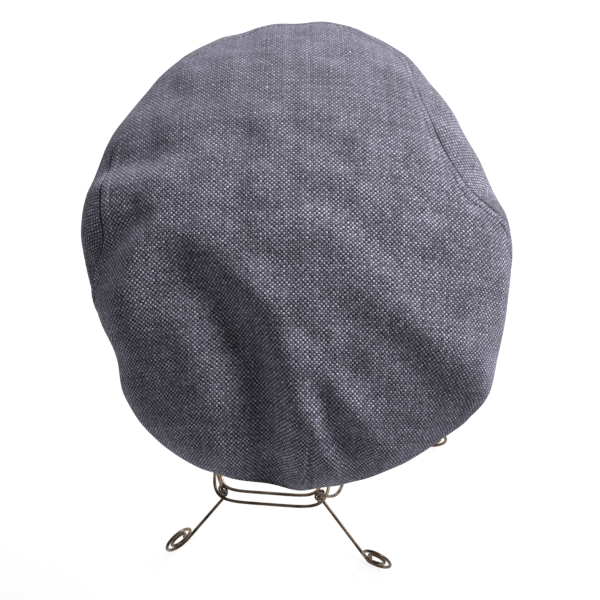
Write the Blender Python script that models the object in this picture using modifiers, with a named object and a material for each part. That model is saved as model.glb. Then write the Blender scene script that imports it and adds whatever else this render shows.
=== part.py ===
"""Flat cap of tweed, resting on a plain wire hat stand.

Metres, +Z up. The cap's peak points to -Y and the object stands on Z = 0. Angles round the cap and round the
stand are in degrees from the front (-Y) towards the right side (+X).
"""

import math

import bpy
import numpy as np
from mathutils import Vector

# The head that the cap fits, and how far its middle lies behind the crown's
HEAD_WIDTH = 0.168
HEAD_LENGTH = 0.204
HEAD_SET_BACK = 0.014

# The crown in plan and height, above the plane of the hem
CROWN_HALF_WIDTH = 0.121
CROWN_FRONT = 0.132
CROWN_BACK = 0.138
POLE_HEIGHT = 0.072
CROWN_LEAN = 0.10
FOLD_HEIGHT = 0.010
FOLD_WIDTH = 0.010
CLOTH = 0.0018
SEAM_GAP = 0.0007

# The peak: how far the crown overhangs its edge, its fall from the hem, its board, and where its corners are
PEAK_INSET = 0.0045
PEAK_FALL = 0.42
PEAK_BOARD = 0.0035
PEAK_FULL_ANGLE = 48.0
PEAK_CORNER_ANGLE = 78.0
PEAK_TURN_IN = 0.005
PEAK_END_TURN = 85.0

# The crown turns from a roll over the peak into a wall between these angles past the peak's full and corner ones
WALL_AFTER_FULL = 10.0
WALL_AFTER_CORNER = 2.0
PANEL_FRONT_ANGLE = 60.0

# How the cap sits on its stand
CAP_TILT = 8.0
HEM_HEIGHT = 0.280
STAND_X = -0.0213
STAND_Y = -0.0041

# The stand's wires
WIRE = 0.0025
BINDING_WIRE = 0.0015
BINDING_TURNS = 2
CLEARANCE = 0.0004
SEAT_GAP = 0.0005
RING_HEIGHT = 0.028
RING_CORNER = 0.0535
RING_SIDE = 0.0458
INNER_RING_SIDE = 0.040
JOINT_ANGLE = -49.5
DOME_RADIUS = 0.080
DOME_ROUNDNESS = 2.6
UPRIGHT_SPRING = 9.0
SPRING_RISE = 0.010
LAP_BELOW = 0.0045
LAP_ABOVE = 0.006
KNEE_RUN = 0.005
FOOT_REACH = 0.115
SCROLL_RADIUS = 0.0145
SCROLL_EYE = 0.0045
SCROLL_TURNS = 2.0
SCROLL_STEP = 30.0
SCROLL_WIND_START = 290.0

# How finely the surfaces and wires are divided
MERIDIANS = 72
CROWN_ROWS = 15
PANEL_ROWS = 7
EDGE_ROW = 0.02
PEAK_COLUMNS = 13
PEAK_ROWS = 3
ARCH_STEPS = 17
UPRIGHT_STEPS = 7
RING_STEPS = 48
BINDING_STEPS = 10
WIRE_SIDES = 2

# Where the arches may touch the crown: above this share of their height, looked at in this many places
SEAT_SHARE = 0.3
SEAT_PLACES = 101
SEAT_ROUNDS = 12

# Rim of the crown: angle, reach as a share of the crown's oval, height as a share of POLE_HEIGHT, and how
# squarely the top turns down to it
RIM = np.array([
    (-180, 1.042, 0.60, 0.50),
    (-165, 1.050, 0.60, 0.50),
    (-150, 1.047, 0.58, 0.50),
    (-130, 1.022, 0.55, 0.50),
    (-112, 1.035, 0.52, 0.50),
    (-96, 1.040, 0.48, 0.52),
    (-80, 1.022, 0.42, 0.55),
    (-66, 1.000, 0.27, 0.60),
    (-58, 0.985, 0.15, 0.62),
    (-50, 1.046, 0.02, 0.66),
    (-36, 1.061, -0.08, 0.68),
    (-18, 1.038, -0.12, 0.66),
    (0, 1.028, -0.14, 0.62),
    (18, 1.030, -0.12, 0.62),
    (34, 1.046, -0.06, 0.62),
    (48, 1.073, 0.04, 0.62),
    (60, 1.034, 0.20, 0.58),
    (74, 0.990, 0.38, 0.52),
    (90, 0.980, 0.47, 0.50),
    (108, 0.922, 0.52, 0.50),
    (126, 0.923, 0.55, 0.50),
    (142, 0.970, 0.58, 0.50),
    (156, 1.025, 0.60, 0.50),
    (168, 1.050, 0.60, 0.50),
])
RIM_COLUMNS = {"angle": 0, "reach": 1, "height": 2, "squareness": 3}

# Seam between the top and the side panels: angle, and how far down the meridian it runs (1 is the rim and 2
# the bottom edge; above 2 the top goes all the way down)
SEAM = np.array([
    (-180, 0.86),
    (-150, 0.80),
    (-130, 0.73),
    (-112, 0.76),
    (-96, 0.70),
    (-84, 0.74),
    (-74, 1.05),
    (-66, 1.45),
    (-61, 1.80),
    (-50, 2.60),
    (0, 2.60),
    (50, 2.60),
    (61, 1.80),
    (68, 1.55),
    (76, 1.30),
    (84, 1.05),
    (90, 0.86),
    (97, 0.64),
    (108, 0.61),
    (126, 0.61),
    (140, 0.66),
    (150, 0.76),
])
SEAM_COLUMNS = {"angle": 0, "down": 1}

# Main folds of the top. Each runs through three places, given by angle and share of the rim's reach. Then come
# its width as a share of FOLD_WIDTH, and its height at the three places as shares of FOLD_HEIGHT, a valley
# below 0
FOLDS = np.array([
    (-66, 0.62, -23, 0.62, -8, 0.98, 1.4, -0.40, -1.25, -1.10),
    (-72, 0.62, -32, 0.40, -8, 0.64, 1.1, 0.05, 0.30, 0.20),
    (-52, 0.66, -38, 0.78, -30, 0.92, 2.4, 0.15, 0.40, 0.25),
    (31, 0.22, 43, 0.57, 49, 0.97, 1.4, 0.08, 0.40, 0.42),
    (26, 0.55, 34, 0.78, 38, 0.96, 1.5, -0.05, -0.20, -0.12),
    (-133, 0.50, -113, 0.66, -108, 1.00, 1.2, -0.10, -0.32, -0.30),
    (-127, 0.44, -106, 0.66, -101, 0.90, 1.0, 0.03, 0.22, 0.20),
    (-90, 0.70, -84, 0.83, -78, 0.96, 1.4, -0.10, -0.45, -0.40),
    (-92, 0.56, -77, 0.74, -60, 0.93, 1.1, 0.05, 0.30, 0.40),
    (-165, 1.00, -165, 0.86, -163, 0.70, 0.9, -0.30, -0.18, -0.05),
    (-151, 0.80, -147, 0.68, -140, 0.56, 1.0, -0.08, -0.15, -0.05),
])
FOLD_STEPS = 25

# Folds fade to a share of their height from just below the rim, and to nothing at the bottom edge
FADE_KEPT = 0.15
FADE_END = 1.06
FADE_LENGTH = 0.24
HEM_FADE = 0.8

# Feet of the stand, one to each joint of the ring: name, angle and reach (a share of FOOT_REACH) of the
# scroll's middle, and the way that its plane points
FEET = (
    ("front_left", -47.0, 0.87, -50.0),
    ("front_right", 43.0, 1.00, 65.0),
    ("back_right", 98.0, 1.13, 82.0),
    ("back_left", -133.0, 0.91, -133.0),
)

TWEED_COLOUR = "#6A6A7E"
PEAK_COLOUR = "#5C5C70"
STEEL_COLOUR = "#4A3A32"
BINDING_COLOUR = "#3A2E28"


def bearing(angle):
    """Unit vectors in plan at each angle, along the last axis."""
    turn = np.radians(angle)
    return np.stack([np.sin(turn), -np.cos(turn)], axis=-1)


def around(angle, rows, column):
    """A table's column at any angle: a smooth closed curve through its rows."""
    knots = rows[:, 0]
    values = rows[:, column]
    count = len(knots)
    turned = (np.asarray(angle, float) + 180.0) % 360.0 - 180.0
    low = np.searchsorted(knots, turned, side="right") - 1
    high = (low + 1) % count
    gap = (knots[high] - knots[low]) % 360.0
    gap_before = (knots[low] - knots[low - 1]) % 360.0
    gap_after = (knots[(low + 2) % count] - knots[high]) % 360.0
    slope_low = (values[high] - values[low - 1]) / (gap + gap_before) * gap
    slope_high = (values[(low + 2) % count] - values[low]) / (gap + gap_after) * gap
    t = (turned - knots[low]) / gap
    return (
        (2 * t**3 - 3 * t**2 + 1) * values[low]
        + (t**3 - 2 * t**2 + t) * slope_low
        + (3 * t**2 - 2 * t**3) * values[high]
        + (t**3 - t**2) * slope_high
    )


def smooth(value):
    """0 up to 0, 1 from 1 on, and an S between."""
    share = np.clip(value, 0.0, 1.0)
    return share * share * (3 - 2 * share)


def ellipse_reach(angle, half_width, half_length, set_back, start=(0.0, 0.0)):
    """How far it is from start, at each angle, to an ellipse whose middle is set_back behind the origin."""
    way = bearing(angle)
    x, y = start[0], start[1] - set_back
    a = (way[..., 0] / half_width) ** 2 + (way[..., 1] / half_length) ** 2
    b = 2 * (way[..., 0] * x / half_width**2 + way[..., 1] * y / half_length**2)
    c = (x / half_width) ** 2 + (y / half_length) ** 2 - 1
    return (-b + np.sqrt(b**2 - 4 * a * c)) / (2 * a)


def head_reach(angle):
    return ellipse_reach(angle, HEAD_WIDTH / 2, HEAD_LENGTH / 2, HEAD_SET_BACK)


def rim(angle):
    """Reach and height of the crown's rim."""
    way = bearing(angle)
    length = np.where(way[..., 1] < 0, CROWN_FRONT, CROWN_BACK)
    oval = 1 / np.hypot(way[..., 0] / CROWN_HALF_WIDTH, way[..., 1] / length)
    reach = oval * around(angle, RIM, RIM_COLUMNS["reach"])
    return reach, POLE_HEIGHT * around(angle, RIM, RIM_COLUMNS["height"])


def from_front(angle):
    """How many degrees an angle is from the front, on either side."""
    return abs((np.asarray(angle, float) + 180.0) % 360.0 - 180.0)


def peak_width(angle):
    """How far the peak stands out from the hem: full in front, then a quarter ellipse to its corners."""
    past_full = from_front(angle) - PEAK_FULL_ANGLE
    turn_in = np.clip(past_full / (PEAK_CORNER_ANGLE - PEAK_FULL_ANGLE), 0.0, 1.0)
    reach, _ = rim(angle)
    return (reach - PEAK_INSET - head_reach(angle)) * np.sqrt(1 - turn_in**2)


def sidewall(angle):
    """0 where the crown is rolled under onto the peak, 1 where it comes down to the hem as a wall."""
    start = PEAK_FULL_ANGLE + WALL_AFTER_FULL
    end = PEAK_CORNER_ANGLE + WALL_AFTER_CORNER
    return smooth((from_front(angle) - start) / (end - start))


def bottom_edge(angle):
    """Reach and height of the cloth's bottom edge: on the peak in front, and at the hem elsewhere."""
    out = np.clip(peak_width(angle) - PEAK_TURN_IN, 0.0, None)
    height = -PEAK_FALL * np.clip(out - CLOTH * sidewall(angle), 0.0, None)
    return head_reach(angle) + out, height + CLEARANCE


def smooth_cap(angle, down):
    """The cap without its folds. Down a meridian, 0 is the pole, 1 the rim and 2 the bottom edge."""
    angle, down = np.broadcast_arrays(np.asarray(angle, float), np.asarray(down, float))
    reach, rim_height = rim(angle)
    edge_reach, edge_height = bottom_edge(angle)
    squareness = 2 * around(angle, RIM, RIM_COLUMNS["squareness"])
    top_turn = np.radians(90 * np.clip(down, 0, 1))
    below = np.clip(down - 1, 0, 1)
    wall = sidewall(angle)
    inward = (1 - wall) * (1 - np.cos(np.radians(90 * below))) + wall * smooth(below)
    fall = (1 - wall) * np.sin(np.radians(90 * below)) + wall * below
    on_top = down <= 1
    radius = np.where(on_top, reach * np.sin(top_turn), reach - (reach - edge_reach) * inward)
    rise = np.clip(np.cos(top_turn), 0, 1) ** squareness
    height = np.where(
        on_top,
        rim_height + (POLE_HEIGHT - rim_height) * rise,
        rim_height - (rim_height - edge_height) * fall,
    )
    plan = bearing(angle) * radius[..., None]
    lean = CROWN_LEAN * plan[..., 1] * np.where(on_top, np.cos(top_turn) ** 2, 0)
    return np.concatenate([plan, (height + lean)[..., None]], axis=-1)


def outward(angle, down):
    """Unit normals of the cap without its folds."""
    turn_step, down_step, off_pole = 0.05, 0.0005, 0.02
    low = np.clip(down, off_pole, 2 - down_step)
    here = smooth_cap(angle, low)
    normal = np.cross(smooth_cap(angle, low + down_step) - here, smooth_cap(angle + turn_step, low) - here)
    return normal / np.linalg.norm(normal, axis=-1, keepdims=True)


def plan_place(angle, share):
    reach, _ = rim(angle)
    return bearing(angle) * reach * share


def fold_height(plan):
    """Height of the folds at places in plan: the sum of ridges and valleys with bell-shaped sections."""
    total = np.zeros(plan.shape[:-1])
    for row in FOLDS:
        start, middle, end = (plan_place(row[i], row[i + 1]) for i in (0, 2, 4))
        width, (low, mid, high) = row[6] * FOLD_WIDTH, row[7:10]
        strongest = np.zeros_like(total)
        for t in np.linspace(0, 1, FOLD_STEPS):
            bend = 2 * t * (1 - t)
            place = (1 - t) ** 2 * start + bend * (2 * middle - (start + end) / 2) + t**2 * end
            height = (1 - t) ** 2 * low + bend * (2 * mid - (low + high) / 2) + t**2 * high
            value = height * np.exp(-((plan - place) ** 2).sum(axis=-1) / width**2)
            strongest = np.where(abs(value) > abs(strongest), value, strongest)
        total += strongest * FOLD_HEIGHT
    return total


def cap_surface(angle, down):
    """The cap's outer surface with its folds, which fade out below the rim, in the cap's own frame."""
    angle, down = np.broadcast_arrays(np.asarray(angle, float), np.asarray(down, float))
    points = smooth_cap(angle, down)
    fade = FADE_KEPT + (1 - FADE_KEPT) * smooth((FADE_END - down) / FADE_LENGTH)
    fade = fade * np.clip((2 - down) / HEM_FADE, 0, 1)
    return points + outward(angle, down) * (fold_height(points[..., :2]) * fade)[..., None]


def seam_down(angle):
    return np.minimum(around(angle, SEAM, SEAM_COLUMNS["down"]), 2.0)


def panel_start(angle):
    """Where a side panel starts below the seam: SEAM_GAP away, measured square to the seam."""
    seam = seam_down(angle)
    turn_step, down_step = 1.0, 0.01
    here = smooth_cap(angle, seam)
    down_length = np.linalg.norm(smooth_cap(angle, seam - down_step) - here, axis=-1) / down_step
    turn_length = np.linalg.norm(smooth_cap(angle + turn_step, seam) - here, axis=-1) / turn_step
    run = (seam_down(angle + turn_step) - seam_down(angle - turn_step)) / (2 * turn_step)
    slope = run * down_length / turn_length
    return seam + SEAM_GAP * np.sqrt(1 + slope**2) / down_length


def tilted(points):
    """From the cap's frame to the part's, before the part is centred."""
    turn = math.radians(CAP_TILT)
    x, y, z = np.moveaxis(points, -1, 0)
    up = y * math.sin(turn) + z * math.cos(turn) + HEM_HEIGHT
    return np.stack([x, y * math.cos(turn) - z * math.sin(turn), up], axis=-1)


def under_crown(plan, offset):
    """Heights, in the part's frame, of the surface that lies offset inside the crown, at places in plan."""
    guess = np.array(plan, float)
    inside_rim = 0.98
    for _ in range(SEAT_ROUNDS):
        angle = np.degrees(np.arctan2(guess[..., 0], -guess[..., 1]))
        reach, _ = rim(angle)
        share = np.clip(np.linalg.norm(guess, axis=-1) / reach, 0, inside_rim)
        down = np.degrees(np.arcsin(share)) / 90
        points = tilted(cap_surface(angle, down) - outward(angle, down) * offset)
        guess = guess + plan - points[..., :2]
    return points[..., 2]


def linear(channel):
    return channel / 12.92 if channel <= 0.04045 else ((channel + 0.055) / 1.055) ** 2.4


def material(name, colour, roughness, metallic=0.0):
    finish = bpy.data.materials.new(name)
    finish.use_nodes = True
    shader = finish.node_tree.nodes["Principled BSDF"]
    channels = [linear(int(colour[i : i + 2], 16) / 255) for i in (1, 3, 5)]
    shader.inputs["Base Color"].default_value = (*channels, 1.0)
    shader.inputs["Roughness"].default_value = roughness
    shader.inputs["Metallic"].default_value = metallic
    return finish


def empty(name, collection, location=(0, 0, 0), tilt=0.0, parent=None):
    holder = bpy.data.objects.new(name, None)
    holder.location = location
    holder.rotation_euler.x = math.radians(tilt)
    holder.parent = parent
    collection.objects.link(holder)
    return holder


def shell(name, rows, finish, thickness, parent, collection, pole=None):
    """A lofted sheet, thickened inwards. Rows run outwards or down; with a pole they close round it."""
    count, across = rows.shape[:2]
    points = [tuple(point) for point in rows.reshape(-1, 3)]
    columns = range(across if pole is not None else across - 1)
    faces = []
    for i in range(count - 1):
        for j in columns:
            k = (j + 1) % across
            faces.append((i * across + j, (i + 1) * across + j, (i + 1) * across + k, i * across + k))
    if pole is not None:
        points.append(tuple(pole))
        for j in columns:
            faces.append((len(points) - 1, j, (j + 1) % across))
    mesh = bpy.data.meshes.new(name)
    mesh.from_pydata(points, [], faces)
    mesh.shade_smooth()
    mesh.materials.append(finish)
    sheet = bpy.data.objects.new(name, mesh)
    wall = sheet.modifiers.new("Cloth thickness", "SOLIDIFY")
    wall.thickness = thickness
    wall.offset = -1
    sheet.parent = parent
    collection.objects.link(sheet)
    return sheet


def wire(name, points, diameter, finish, parent, collection, closed=False):
    curve = bpy.data.curves.new(name, "CURVE")
    curve.dimensions = "3D"
    curve.bevel_depth = diameter / 2
    curve.bevel_resolution = WIRE_SIDES
    curve.use_fill_caps = not closed
    spline = curve.splines.new("POLY")
    spline.points.add(len(points) - 1)
    for knot, point in zip(spline.points, points):
        knot.co = (*point, 1.0)
    spline.use_cyclic_u = closed
    curve.materials.append(finish)
    rod = bpy.data.objects.new(name, curve)
    rod.parent = parent
    collection.objects.link(rod)
    return rod


def make_cap(tweed, peak_cloth, cap, collection):
    angles = np.arange(MERIDIANS) * 360.0 / MERIDIANS - 180.0
    shares = np.append(np.linspace(0, 1 - EDGE_ROW, CROWN_ROWS)[1:], 1.0)[:, None]
    downs = shares * seam_down(angles)[None, :]
    top = cap_surface(angles[None, :], downs)
    shell("crown_top", top, tweed, CLOTH, cap, collection, pole=cap_surface(0.0, 0.0))

    back_gap = math.degrees(SEAM_GAP / 2 / CROWN_BACK)
    for name, side in (("side_panel_right", 1), ("side_panel_left", -1)):
        own = angles[(side * angles >= PANEL_FRONT_ANGLE) & (abs(angles) < 180.0)]
        own = np.append(own, side * (180.0 - back_gap))
        own = np.sort(own)
        start = panel_start(own)
        drop = np.append(0.0, np.linspace(EDGE_ROW, 1, PANEL_ROWS))[:, None]
        panel = cap_surface(own[None, :], start + (2.0 - start) * drop)
        shell(name, panel, tweed, CLOTH, cap, collection)

    turn = np.linspace(-1, 1, 2 * PEAK_COLUMNS + 1)
    corner = np.radians(PEAK_END_TURN) * np.clip(2 * abs(turn) - 1, 0, 1)
    straight = PEAK_FULL_ANGLE * np.clip(2 * abs(turn), 0, 1)
    spread = np.sign(turn) * (straight + (PEAK_CORNER_ANGLE - PEAK_FULL_ANGLE) * np.sin(corner))
    out = np.linspace(0, 1, PEAK_ROWS + 1)[:, None] * peak_width(spread)
    reach = np.concatenate([head_reach(spread)[None] - CLOTH, head_reach(spread) + out])
    height = -PEAK_FALL * np.clip(reach - head_reach(spread), 0, None)
    plan = bearing(spread)[None] * reach[..., None]
    board = np.concatenate([plan, height[..., None]], axis=-1)
    shell("peak", board, peak_cloth, PEAK_BOARD, cap, collection)


def joint_angles():
    return [JOINT_ANGLE + 90.0 * i for i in range(4)]


def upright_reach(angle):
    """How far out an upright stands under the hem: DOME_RADIUS, or just inside the hem where that is nearer."""
    inset = CLOTH + WIRE / 2 + 2 * CLEARANCE
    inside = ellipse_reach(
        angle, HEAD_WIDTH / 2 - inset, HEAD_LENGTH / 2 - inset, HEAD_SET_BACK, (STAND_X, STAND_Y)
    )
    return min(DOME_RADIUS, float(inside) - WIRE)


def arch_profile(front, steps=ARCH_STEPS):
    """Plan places and unit heights of the arch from the joint at front to the one opposite."""
    near, far = upright_reach(front), upright_reach(front + 180.0)
    turn = np.linspace(0, math.pi, steps)
    across = np.sign(np.cos(turn)) * abs(np.cos(turn)) ** (2 / DOME_ROUNDNESS)
    unit = np.sin(turn) ** (2 / DOME_ROUNDNESS)
    place = (near - far) / 2 + (near + far) / 2 * across
    return np.array([STAND_X, STAND_Y]) + bearing(front) * place[:, None], unit


def seat_rise(front):
    """How high an arch can rise before it meets the crown, with SEAT_GAP to spare."""
    plan, unit = arch_profile(front, SEAT_PLACES)
    inner = unit > SEAT_SHARE
    heights = under_crown(plan[inner], CLOTH + WIRE / 2 + SEAT_GAP)
    return ((heights - HEM_HEIGHT) / unit[inner]).min()


def upright(angle):
    """One upright, from its lapped foot at the ring to the foot of the arch."""
    low = RING_HEIGHT - LAP_BELOW
    spring = RING_HEIGHT + SPRING_RISE
    share = np.linspace(0, 1, UPRIGHT_STEPS)[:-1] ** 2
    reach = RING_CORNER + (upright_reach(angle) - RING_CORNER) * (1 - (1 - share) ** UPRIGHT_SPRING)
    plan = np.array([STAND_X, STAND_Y]) + bearing(angle) * reach[:, None]
    points = np.column_stack([plan, spring + (HEM_HEIGHT - spring) * share])
    return np.vstack([(*plan[0], low), points])


def dome_wire(name, front, rise, steel, stand, collection):
    plan, unit = arch_profile(front)
    arch = np.column_stack([plan, HEM_HEIGHT + rise * unit])
    route = np.vstack([upright(front), arch, upright(front + 180.0)[::-1]])
    wire(name, route, WIRE, steel, stand, collection)


def ring_route(corner, side, height):
    """A square with rounded corners at the joints: a superellipse of the given half diagonal and half side."""
    angles = JOINT_ANGLE + np.arange(RING_STEPS) * 360.0 / RING_STEPS
    squareness = 1 / (0.5 - math.log2(corner / side))
    turn = np.radians(angles - JOINT_ANGLE + 45.0)
    reach = side / (abs(np.cos(turn)) ** squareness + abs(np.sin(turn)) ** squareness) ** (1 / squareness)
    plan = np.array([STAND_X, STAND_Y]) + bearing(angles) * reach[:, None]
    return np.column_stack([plan, np.full(RING_STEPS, height)])


def lap_side(joint, angle, reach):
    """The way from an upright to the leg lapped beside it: the side of the joint that its foot is on."""
    across = bearing(joint + 90.0)
    return across if (bearing(angle) * reach) @ across >= 0 else -across


def leg_route(joint, angle, reach, facing):
    """A leg's wire: lapped beside its upright, straight down to the foot, and rolled up there in a scroll."""
    lap = np.array([STAND_X, STAND_Y]) + bearing(joint) * RING_CORNER
    lap = lap + lap_side(joint, angle, reach) * (WIRE + CLEARANCE)
    centre = np.array([STAND_X, STAND_Y]) + bearing(angle) * reach
    outer = SCROLL_RADIUS - WIRE / 2
    way = bearing(facing)
    knee = np.array([*lap, RING_HEIGHT - LAP_BELOW])
    hub = np.array([*centre, SCROLL_RADIUS])
    across, up = (knee - hub)[:2] @ way, (knee - hub)[2]
    start = math.degrees(math.atan2(up, across)) % 360.0
    start += math.degrees(math.acos(outer / math.hypot(across, up)))

    turn = start + np.arange(0.0, 360.0 * SCROLL_TURNS, SCROLL_STEP)
    inward = np.clip((turn - SCROLL_WIND_START) / (turn[-1] - SCROLL_WIND_START), 0, 1)
    radius = outer - (outer - SCROLL_EYE) * inward
    flat = radius * np.cos(np.radians(turn))
    scroll = np.column_stack([centre + way * flat[:, None], hub[2] + radius * np.sin(np.radians(turn))])

    top = np.array([*lap, RING_HEIGHT + LAP_ABOVE])
    run = scroll[0] - knee
    run = run / np.linalg.norm(run)
    before = knee + np.array([0, 0, LAP_BELOW / 2])
    after = knee + run * KNEE_RUN
    bend = [(1 - t) ** 2 * before + 2 * t * (1 - t) * knee + t**2 * after for t in (0, 0.33, 0.67, 1)]
    return np.vstack([top, bend, scroll])


def binding_route(joint, side):
    """Thin wire wound round the lap of a leg and its upright."""
    middle = np.array([STAND_X, STAND_Y]) + bearing(joint) * RING_CORNER + side * (WIRE + CLEARANCE) / 2
    around_lap = WIRE / 2 + BINDING_WIRE / 2 + 1.5 * CLEARANCE
    long_side, short_side = around_lap + (WIRE + CLEARANCE) / 2, around_lap
    turn = np.radians(np.arange(BINDING_TURNS * BINDING_STEPS + 1) * 360.0 / BINDING_STEPS)
    plan = middle + bearing(joint + 90.0) * (long_side * np.cos(turn))[:, None]
    plan = plan + bearing(joint) * (short_side * np.sin(turn))[:, None]
    pitch = BINDING_WIRE + CLEARANCE
    low = RING_HEIGHT + WIRE / 2 + BINDING_WIRE / 2 + CLEARANCE
    return np.column_stack([plan, low + pitch * turn / (2 * math.pi)])


def make_stand(steel, binding_steel, stand, collection):
    joints = joint_angles()
    over, under = joints[1], joints[0]
    over_rise = seat_rise(over)
    crossing_drop = WIRE + CLEARANCE
    under_rise = min(seat_rise(under), over_rise - crossing_drop)
    dome_wire("dome_wire_over", over, over_rise, steel, stand, collection)
    dome_wire("dome_wire_under", under, under_rise, steel, stand, collection)

    beside = WIRE + CLEARANCE
    outer = ring_route(RING_CORNER + beside + 2 * CLEARANCE, RING_SIDE, RING_HEIGHT)
    wire("ring_outer", outer, WIRE, steel, stand, collection, closed=True)
    inner_height = RING_HEIGHT + WIRE + (BINDING_TURNS + 1) * (BINDING_WIRE + CLEARANCE)
    inner = ring_route(RING_CORNER - beside, INNER_RING_SIDE, inner_height)
    wire("ring_inner", inner, WIRE, steel, stand, collection, closed=True)

    for joint, (name, angle, share, facing) in zip(joints, FEET):
        reach = share * FOOT_REACH
        wire(f"leg_{name}", leg_route(joint, angle, reach, facing), WIRE, steel, stand, collection)
        turns = binding_route(joint, lap_side(joint, angle, reach))
        wire(f"binding_{name}", turns, BINDING_WIRE, binding_steel, stand, collection)


def corners(objects):
    """Lowest and highest corner of the objects as they are drawn."""
    bpy.context.view_layer.update()
    graph = bpy.context.evaluated_depsgraph_get()
    points = []
    for thing in objects:
        drawn = thing.evaluated_get(graph)
        mesh = drawn.to_mesh()
        points += [drawn.matrix_world @ vertex.co for vertex in mesh.vertices]
        drawn.to_mesh_clear()
    return [Vector(pick(point[i] for point in points) for i in range(3)) for pick in (min, max)]


def main():
    for thing in list(bpy.data.objects):
        bpy.data.objects.remove(thing)
    collection = bpy.data.collections.new("flat_cap_on_wire_stand")
    bpy.context.scene.collection.children.link(collection)

    tweed = material("tweed", TWEED_COLOUR, 0.95)
    peak_cloth = material("peak_tweed", PEAK_COLOUR, 0.95)
    steel = material("browned_steel_wire", STEEL_COLOUR, 0.45, 0.9)
    binding_steel = material("binding_wire", BINDING_COLOUR, 0.5, 0.9)

    centre = empty("centre", collection)
    cap = empty("cap", collection, (0, 0, HEM_HEIGHT), CAP_TILT, centre)
    stand = empty("stand", collection, parent=centre)
    make_cap(tweed, peak_cloth, cap, collection)
    make_stand(steel, binding_steel, stand, collection)

    # Each foot is let down or raised a hair, so that all four stand on the floor
    for name, *_ in FEET:
        leg = bpy.data.objects[f"leg_{name}"]
        leg.location.z = -corners([leg])[0].z
    solids = [thing for thing in collection.objects if thing.type != "EMPTY"]
    low, high = corners(solids)
    centre.location = (-(low.x + high.x) / 2, -(low.y + high.y) / 2, 0)


main()
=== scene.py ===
# %% [markdown]
# A flat cap of wool tweed, worn soft, resting on a plain wire hat stand.
# The solids of the part say where everything is. Here each one gets the surface that the eye sees: cloth
# with folds, seams and a weave, and smooth round wire.

import math

import bpy
import numpy as np
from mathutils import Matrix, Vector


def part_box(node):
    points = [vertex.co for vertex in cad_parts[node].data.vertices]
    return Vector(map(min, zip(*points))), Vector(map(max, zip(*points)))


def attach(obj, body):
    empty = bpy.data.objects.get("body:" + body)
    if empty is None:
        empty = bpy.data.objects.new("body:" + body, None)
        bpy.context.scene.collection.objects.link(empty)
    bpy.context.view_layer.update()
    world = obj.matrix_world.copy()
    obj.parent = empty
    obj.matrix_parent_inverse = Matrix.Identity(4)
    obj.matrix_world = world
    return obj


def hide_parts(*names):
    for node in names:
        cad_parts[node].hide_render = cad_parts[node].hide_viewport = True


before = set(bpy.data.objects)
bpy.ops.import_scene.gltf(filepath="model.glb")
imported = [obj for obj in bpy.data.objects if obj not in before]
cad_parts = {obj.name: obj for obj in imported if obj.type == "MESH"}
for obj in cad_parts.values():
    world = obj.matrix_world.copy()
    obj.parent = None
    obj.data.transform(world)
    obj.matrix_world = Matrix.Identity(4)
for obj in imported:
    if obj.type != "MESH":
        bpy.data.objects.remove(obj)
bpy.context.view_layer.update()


# %% [markdown]
# Small helpers come first. A position on the cap is an angle round it, in degrees from the front towards the
# right side, and a share of the way down. Working in whole arrays keeps a fine cloth surface quick to make.

# %% Helpers for angles and curves
def bearing(angle):
    """Unit vectors in plan: (sin angle, -cos angle), so that 0 points to the front."""
    turn = np.radians(angle)
    return np.stack([np.sin(turn), -np.cos(turn)], axis=-1)


def smooth(value):
    """0 up to 0, 1 from 1 on, and between them 3 t squared less 2 t cubed."""
    share = np.clip(value, 0.0, 1.0)
    return share * share * (3 - 2 * share)


def around(angle, rows, column):
    """A table's column at any angle: cubic pieces through its rows, with the slope at a row set by its
    neighbours on both sides, closed round the circle."""
    knots = rows[:, 0]
    values = rows[:, column]
    count = len(knots)
    turned = (np.asarray(angle, float) + 180.0) % 360.0 - 180.0
    low = np.searchsorted(knots, turned, side="right") - 1
    high = (low + 1) % count
    after = (low + 2) % count
    gap = (knots[high] - knots[low]) % 360.0
    gap_before = (knots[low] - knots[low - 1]) % 360.0
    gap_after = (knots[after] - knots[high]) % 360.0
    slope_low = (values[high] - values[low - 1]) / (gap + gap_before) * gap
    slope_high = (values[after] - values[low]) / (gap + gap_after) * gap
    t = (turned - knots[low]) / gap
    return (
        (2 * t**3 - 3 * t**2 + 1) * values[low]
        + (t**3 - 2 * t**2 + t) * slope_low
        + (3 * t**2 - 2 * t**3) * values[high]
        + (t**3 - t**2) * slope_high
    )


def unit(vectors):
    """Vectors divided by their lengths."""
    return vectors / np.linalg.norm(vectors, axis=-1, keepdims=True)


def linear(channel):
    """An sRGB channel from 0 to 1 as the linear value that a shader works with."""
    return channel / 12.92 if channel <= 0.04045 else ((channel + 0.055) / 1.055) ** 2.4


def colour(code):
    """A hex colour such as #30303F as linear red, green, blue and full opacity."""
    return (*(linear(int(code[i : i + 2], 16) / 255) for i in (1, 3, 5)), 1.0)


# %% [markdown]
# The camera stands where the photographer's did: in front of the peak, looking 56 degrees down on the cap.
# The lens is a short portrait length, so the near lobe of cloth looks a little larger than the far one.

# %% Camera
CAMERA_PLACE = (0.0013, -0.3561, 0.7647)
CAMERA_DOWN = 56.0
CAMERA_LENS_MM = 60.0
CAMERA_NEAR = 0.01

camera_data = bpy.data.cameras.new("camera")
camera_data.lens = CAMERA_LENS_MM
camera_data.clip_start = CAMERA_NEAR
camera = bpy.data.objects.new("camera", camera_data)
camera.location = CAMERA_PLACE
camera.rotation_euler.x = math.radians(90.0 - CAMERA_DOWN)
bpy.context.scene.collection.objects.link(camera)
bpy.context.scene.camera = camera
print("camera at", CAMERA_PLACE, "looking", CAMERA_DOWN, "degrees down")
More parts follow.
